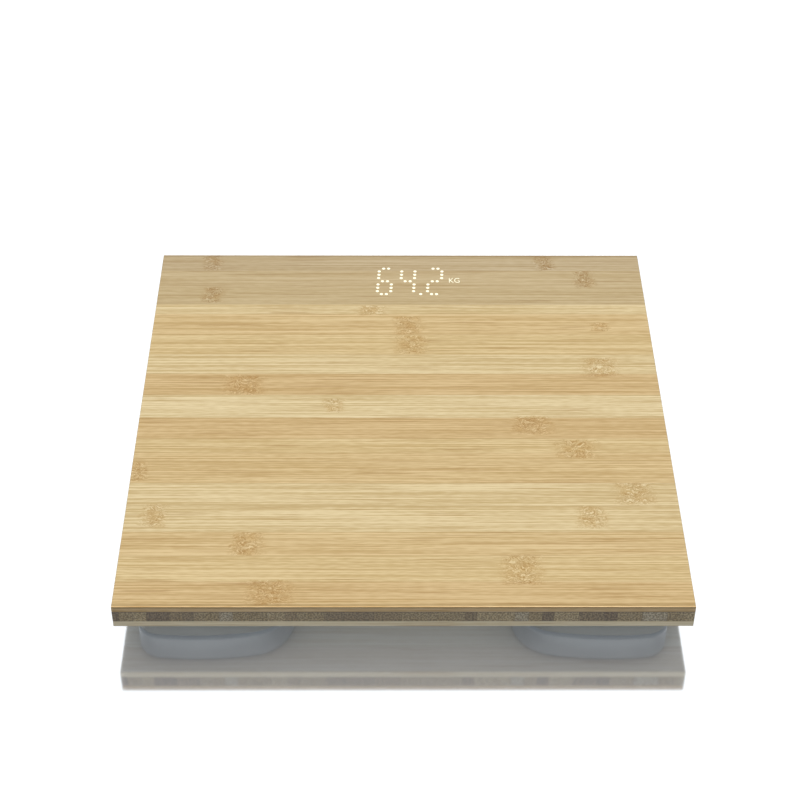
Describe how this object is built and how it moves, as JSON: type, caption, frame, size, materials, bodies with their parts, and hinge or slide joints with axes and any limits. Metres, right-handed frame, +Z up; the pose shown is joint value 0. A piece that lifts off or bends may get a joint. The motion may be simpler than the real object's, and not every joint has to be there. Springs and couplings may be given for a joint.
{
  "type": "bathroom scale",
  "caption": "Square bamboo bathroom scale with a hidden dot display behind a printed cover, on four sprung load cell feet, with a battery door and a unit button underneath.",
  "frame": {"origin": "on the floor, under the middle of the square platform", "axes": "+Z up, +Y towards the display end, +X to the right of someone who stands at the other end and reads it"},
  "size_m": [0.3, 0.3, 0.033],
  "materials": {
    "bamboo": "satin lacquer over fine straight grain",
    "printed_acrylic": "satin, printed with a wood grain, lets light through",
    "black_plastic": "matt moulded",
    "circuit_board": "green solder mask",
    "led": "clear epoxy over white",
    "grey_abs": "fine texture, moulded",
    "button_plastic": "smooth moulded",
    "pad_rubber": "matt, grooved",
    "cell_steel": "nickel plated, brushed",
    "zinc_steel": "zinc plated",
    "nickel_plate": "nickel plated",
    "battery_wrap": "gloss printed film over a steel can",
    "wire_insulation": "smooth vinyl",
    "silicone": "soft gloss"
  },
  "bodies": {
    "platform": {"battery_1": "battery_wrap", "battery_2": "battery_wrap", "battery_3": "battery_wrap", "battery_leads": "wire_insulation", "board_components": "black_plastic", "board_screws": "zinc_steel", "bottom_ply": "bamboo", "channel_covers": "grey_abs", "contact_plates": "nickel_plate", "contact_springs": "nickel_plate", "core_ply": "bamboo", "display_cover": "printed_acrylic", "display_header": "black_plastic", "dot_mask": "black_plastic", "electronics_housing": "grey_abs", "foot_mount_back_left": "grey_abs", "foot_mount_back_right": "grey_abs", "foot_mount_front_left": "grey_abs", "foot_mount_front_right": "grey_abs", "foot_screws": "zinc_steel", "housing_screws": "zinc_steel", "led_board": "circuit_board", "led_chips": "led", "load_cell_back_left": "cell_steel", "load_cell_back_right": "cell_steel", "load_cell_front_left": "cell_steel", "load_cell_front_right": "cell_steel", "load_cell_wires_back_left": "wire_insulation", "load_cell_wires_back_right": "wire_insulation", "load_cell_wires_front_left": "wire_insulation", "load_cell_wires_front_right": "wire_insulation", "main_board": "circuit_board", "strain_gauges": "silicone", "tact_switch": "black_plastic", "top_ply": "bamboo"},
    "foot_front_left": {"foot_shell_front_left": "grey_abs", "foot_pad_front_left": "pad_rubber"},
    "foot_front_right": {"foot_shell_front_right": "grey_abs", "foot_pad_front_right": "pad_rubber"},
    "foot_back_left": {"foot_shell_back_left": "grey_abs", "foot_pad_back_left": "pad_rubber"},
    "foot_back_right": {"foot_shell_back_right": "grey_abs", "foot_pad_back_right": "pad_rubber"},
    "battery_door": {"battery_door": "grey_abs"},
    "unit_button": {"unit_button": "button_plastic", "switch_plunger": "button_plastic"}
  },
  "joints": [
    {"name": "foot_front_left_travel", "type": "slide", "parent": "platform", "child": "foot_front_left", "axis": [0, 0, 1], "range_m": [0, 0.0006], "stiffness_N_per_m": 20000, "springref_m": -0.0005, "deforming": ["load_cell_front_left"]},
    {"name": "foot_front_right_travel", "type": "slide", "parent": "platform", "child": "foot_front_right", "axis": [0, 0, 1], "range_m": [0, 0.0006], "stiffness_N_per_m": 20000, "springref_m": -0.0005, "deforming": ["load_cell_front_right"]},
    {"name": "foot_back_left_travel", "type": "slide", "parent": "platform", "child": "foot_back_left", "axis": [0, 0, 1], "range_m": [0, 0.0006], "stiffness_N_per_m": 20000, "springref_m": -0.0005, "deforming": ["load_cell_back_left"]},
    {"name": "foot_back_right_travel", "type": "slide", "parent": "platform", "child": "foot_back_right", "axis": [0, 0, 1], "range_m": [0, 0.0006], "stiffness_N_per_m": 20000, "springref_m": -0.0005, "deforming": ["load_cell_back_right"]},
    {"name": "battery_door_slide", "type": "slide", "parent": "platform", "child": "battery_door", "axis": [0, -1, 0], "range_m": [0, 0.036]},
    {"name": "unit_button_press", "type": "slide", "parent": "platform", "child": "unit_button", "axis": [0, 0, 1], "range_m": [0, 0.0005], "stiffness_N_per_m": 1500, "springref_m": -0.0006}
  ]
}
